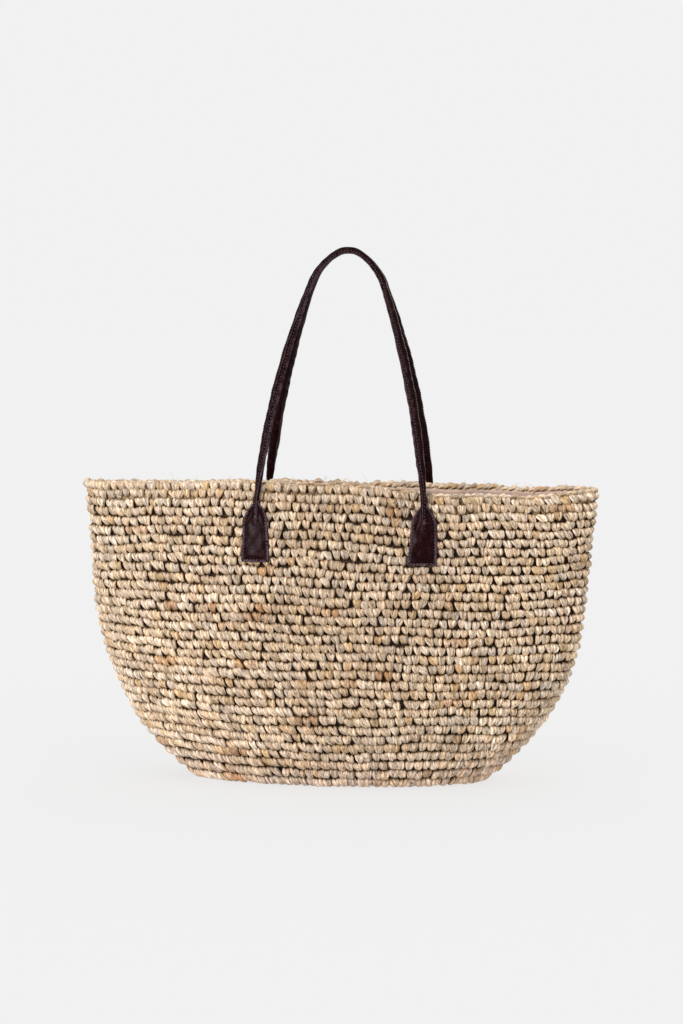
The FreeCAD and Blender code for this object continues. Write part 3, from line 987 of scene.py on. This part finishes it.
def main_pieces():
    raffia, leather, cloth = raffia_material(), leather_material(), cloth_material()
    brown = thread_material("brown_thread", (0.058, 0.038, 0.042))
    cream = thread_material("cream_thread", (0.60, 0.50, 0.38))
    rope = thread_material("cotton_rope", (0.58, 0.53, 0.44))

    wall = crochet_wall(raffia) + [backing(painted_shade_backing_material())]
    base = crochet_base(raffia)
    chain, inside = rim_edging(raffia)
    fit(wall[0], "crochet_wall")
    fit(base, "crochet_base")
    fit(chain, "rim_edging")
    for piece in wall[1:] + [inside, loose_fibres(raffia)]:
        fit(piece)

    for side in (FRONT, REAR):
        fit(lining_panel(side, cloth), "lining_" + SIDES[side])
    fit(lining_floor(cloth), "lining_base")
    fit(lining_hem(cloth), "lining_hem")
    fit(hem_stitches(cream), "hem_thread")
    fit(seam_stitches(cream), "lining_seam_thread")

    for side in (FRONT, REAR):
        for hand in (LEFT, RIGHT):
            node = tab_name(side, hand)
            fit(tab_leather(side, hand, leather), node)
            fit(tab_stitches(side, hand, brown), node + "_thread")
            fit(tab_patch(side, hand, leather), node + "_backing")
        handle(side, leather, brown, rope)


def handle(side, leather, brown, rope):
    """One handle: its leather, stitches and rope take the place of the CAD's strap, thread and core."""
    node = SIDES[side] + "_handle"
    parts = ((handle_leather(side, leather), "_strap", "leather"),
             (handle_stitches(side, brown), "_thread", "brown_thread"),
             (handle_rope(side, rope), "_core", "cotton_rope"))
    for piece, ending, slot in parts:
        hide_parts(node + ending)
        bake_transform(piece)


# ---- materials

class Nodes:
    """A short way to write a material's nodes."""

    def __init__(self, name):
        self.material = bpy.data.materials.new(name)
        self.material.use_nodes = True
        self.tree = self.material.node_tree
        self.shader = self.tree.nodes["Principled BSDF"]

    def add(self, kind, inputs=None, **settings):
        node = self.tree.nodes.new("ShaderNode" + kind)
        for key, value in settings.items():
            setattr(node, key, value)
        for key, value in (inputs or {}).items():
            self.feed(node.inputs[key], value)
        return node

    def feed(self, socket, value):
        if isinstance(value, bpy.types.NodeSocket):
            self.tree.links.new(value, socket)
        else:
            socket.default_value = value

    def set(self, **values):
        names = {key.replace("_", " ").lower(): value for key, value in values.items()}
        for socket in self.shader.inputs:
            if socket.name.lower() in names:
                self.feed(socket, names[socket.name.lower()])

    def ramp(self, source, stops):
        node = self.add("ValToRGB", {"Fac": source})
        ramp = node.color_ramp
        while len(ramp.elements) < len(stops):
            ramp.elements.new(0.5)
        for element, (place, value) in zip(ramp.elements, stops):
            element.position = place
            colour = (value, value, value) if isinstance(value, float) else value
            element.color = (*colour, 1.0)
        return node.outputs["Color"]

    def place(self):
        return self.add("NewGeometry").outputs["Position"]

    def noise(self, vector, scale, detail, **more):
        inputs = {"Vector": vector, "Scale": scale, "Detail": detail, **more}
        return self.add("TexNoise", inputs).outputs["Fac"]

    def maths(self, operation, *values):
        node = self.add("Math", operation=operation)
        for socket, value in zip(node.inputs, values):
            self.feed(socket, value)
        return node.outputs[0]

    def mix(self, kind, share, a, b):
        node = self.add("Mix", data_type="RGBA", blend_type=kind)
        self.feed(node.inputs[0], share)
        self.feed(node.inputs[6], a)
        self.feed(node.inputs[7], b)
        return node.outputs[2]

    def bump(self, height, strength, distance, normal=None):
        node = self.add("Bump", {"Height": height, "Strength": strength, "Distance": distance})
        if normal is not None:
            self.feed(node.inputs["Normal"], normal)
        return node.outputs["Normal"]


def raffia_material():
    """Dry palm fibre: each strand has fine lengthwise fibres, with painted highlights on their ridges and
    painted shade in the creases between them.
    """
    n = Nodes("raffia")
    # tint holds each stitch's own colour with its painted shade and painted light by place multiplied in
    tint = n.add("Attribute", attribute_name="tint").outputs["Color"]
    uv = n.add("UVMap", uv_map="fibre").outputs["UV"]
    long_way = n.add("Mapping", {"Vector": uv, "Scale": (11.0, 1.3, 1.0)}).outputs["Vector"]
    fibres = n.noise(long_way, 1.6, 4.0, Roughness=0.62)
    fine_way = n.add("Mapping", {"Vector": uv, "Scale": (34.0, 2.2, 1.0)}).outputs["Vector"]
    fine = n.noise(fine_way, 1.3, 3.0)
    # Fibre streaks: partly the fibres' own tone, partly painted highlight on the ridges (up to 1.36 times
    # the tint) and painted shade in the creases.
    shade = n.ramp(fibres, [(0.33, 0.22), (0.47, 0.90), (0.63, 1.36)])
    colour = n.mix("MULTIPLY", 1.0, tint, shade)
    colour = n.mix("MULTIPLY", 0.75, colour, n.ramp(fine, [(0.34, 0.50), (0.62, 1.20)]))
    patches = n.noise(n.place(), 26.0, 2.0)
    colour = n.mix("MULTIPLY", 0.6, colour, n.ramp(patches, [(0.35, (0.88, 0.82, 0.78)),
                                                            (0.62, (1.08, 1.06, 1.02))]))
    normal = n.bump(fibres, 0.55, 0.0009)
    normal = n.bump(fine, 0.35, 0.0004, normal)
    rough = n.maths("MULTIPLY_ADD", fine, 0.30, 0.36)
    n.set(base_color=colour, roughness=rough, normal=normal, specular_ior_level=0.42)
    return n.material


def painted_shade_backing_material():
    """Painted shade: dark, matted fibre colour for the gaps between the stitches, where shade falls."""
    n = Nodes("raffia_back_painted_shade")
    blots = n.noise(n.place(), 420.0, 4.0)
    colour = n.ramp(blots, [(0.30, (0.008, 0.003, 0.002)), (0.58, (0.036, 0.017, 0.009)),
                            (0.76, (0.11, 0.064, 0.036))])
    n.set(base_color=colour, roughness=0.8, normal=n.bump(blots, 0.8, 0.0008),
          specular_ior_level=0.2)
    return n.material


def leather_material():
    """Dark burgundy leather: pebbled grain, fine wrinkles, and a painted highlight along proud edges."""
    n = Nodes("leather")
    place = n.place()
    grain = n.add("TexVoronoi", {"Vector": place, "Scale": 1150.0}).outputs["Distance"]
    wrinkles = n.noise(place, 210.0, 5.0, Roughness=0.65, Distortion=0.8)
    broad = n.noise(place, 48.0, 3.0)
    colour = n.ramp(wrinkles, [(0.30, (0.0034, 0.0005, 0.0005)), (0.52, (0.0092, 0.0012, 0.0012)),
                               (0.74, (0.026, 0.0085, 0.0092))])
    worn = n.ramp(broad, [(0.38, 0.80), (0.68, 1.30)])
    colour = n.mix("MULTIPLY", 0.9, colour, worn)
    # The tint attribute holds the painted highlights along proud edges, broken up by the wrinkles.
    painted_highlight = n.add("Attribute", attribute_name="tint").outputs["Color"]
    painted_highlight = n.mix("MULTIPLY", 1.0, painted_highlight, n.ramp(wrinkles, [(0.38, 0.10), (0.60, 1.30)]))
    colour = n.mix("ADD", 1.0, colour, painted_highlight)
    rough = n.maths("MULTIPLY_ADD", wrinkles, 0.36, 0.12)
    normal = n.bump(grain, 0.18, 0.0003)
    normal = n.bump(wrinkles, 0.30, 0.0006, normal)
    n.set(base_color=colour, roughness=rough, normal=normal, specular_ior_level=0.05,
          specular_tint=(1.0, 0.90, 1.0, 1.0))
    return n.material


def cloth_material():
    """Pinkish beige cotton in a plain weave."""
    n = Nodes("lining_cloth")
    place = n.place()
    warp, weft = (n.add("TexWave", {"Vector": place, "Scale": 330.0, "Distortion": 1.2, "Detail": 1.0},
                        bands_direction=axis).outputs["Fac"] for axis in "XZ")
    weave = n.maths("MULTIPLY", warp, weft)
    slubs = n.noise(place, 90.0, 4.0)
    colour = n.ramp(weave, [(0.0, (0.40, 0.27, 0.21)), (0.45, (0.60, 0.44, 0.36)),
                            (1.0, (0.70, 0.54, 0.45))])
    colour = n.mix("MULTIPLY", 0.6, colour, n.ramp(slubs, [(0.35, 0.86), (0.65, 1.08)]))
    n.set(base_color=colour, roughness=0.85, normal=n.bump(weave, 0.5, 0.0004),
          specular_ior_level=0.2, sheen_weight=0.15)
    return n.material


def thread_material(name, colour):
    n = Nodes(name)
    ply = n.noise(n.place(), 2400.0, 2.0)
    dark = tuple(0.55 * c for c in colour)
    light = tuple(min(1.0, 1.5 * c) for c in colour)
    n.set(base_color=n.ramp(ply, [(0.32, dark), (0.68, light)]), roughness=0.5,
          normal=n.bump(ply, 0.5, 0.0002), specular_ior_level=0.5)
    return n.material


def floor_material(level, own_light):
    """A pale floor lit evenly from within, so that only a faint contact shadow shows."""
    n = Nodes("studio_floor")
    grey = (1.0 - own_light,) * 3 + (1.0,)
    n.set(base_color=grey, roughness=1.0, specular_ior_level=0.0,
          emission_color=(1.0, 1.0, 1.0, 1.0), emission_strength=level * own_light)
    return n.material


# ---- stage, light and camera

VIEW_AZIMUTH = math.radians(8.0)
VIEW_DISTANCE = 3.0
VIEW_HEIGHT = 0.268  # of the camera above what it looks at
AIM = Vector((0.003, 0.0, 0.279))
LENS = 101.6
FLOOR_Z = -0.0004
FLOOR_LEVEL, FLOOR_OWN_LIGHT = 0.882, 0.80


def stage():
    bpy.ops.mesh.primitive_plane_add(size=30.0, location=(0.0, 0.0, FLOOR_Z))
    floor = bpy.context.object
    floor.name = "studio_floor"
    floor.data.materials.append(floor_material(FLOOR_LEVEL, FLOOR_OWN_LIGHT))
    world = bpy.data.worlds.new("studio")
    world.use_nodes = True
    background = world.node_tree.nodes["Background"].inputs
    background["Color"].default_value = (0.88, 0.88, 0.885, 1.0)
    background["Strength"].default_value = 1.0
    bpy.context.scene.world = world
    return floor


def aimed(name, data, place):
    """A lamp or camera at a place, looking at the bag."""
    thing = bpy.data.objects.new(name, data)
    thing.location = place
    thing.rotation_mode = "QUATERNION"
    thing.rotation_quaternion = (thing.location - AIM).to_track_quat("Z", "Y")
    bpy.context.scene.collection.objects.link(thing)
    return thing


def area_light(name, place, size, watts):
    data = bpy.data.lights.new(name, "AREA")
    data.shape = "DISK"
    data.size = size
    data.energy = watts
    return aimed(name, data, place)


def keep_off(floor, lights):
    """The lamps light the bag and not the floor, which stays evenly pale."""
    group = bpy.data.collections.new("not_lit_by_lamps")
    group.objects.link(floor)
    group.collection_objects[0].light_linking.link_state = "EXCLUDE"
    for light in lights:
        light.light_linking.receiver_collection = group


def camera():
    data = bpy.data.cameras.new("camera")
    data.lens = LENS
    data.sensor_width = 36.0
    away = Vector((math.sin(VIEW_AZIMUTH), -math.cos(VIEW_AZIMUTH), 0.0)) * VIEW_DISTANCE
    place = AIM + away + Vector((0.0, 0.0, VIEW_HEIGHT))
    bpy.context.scene.camera = aimed("camera", data, place)


floor = stage()
lamps = [area_light("key", (-1.15, -1.75, 1.35), 0.7, 46.0),
         area_light("back_fill", (1.5, 1.7, 1.3), 1.4, 26.0)]
keep_off(floor, lamps)
camera()
bpy.context.scene.view_settings.view_transform = "Standard"
main_pieces()
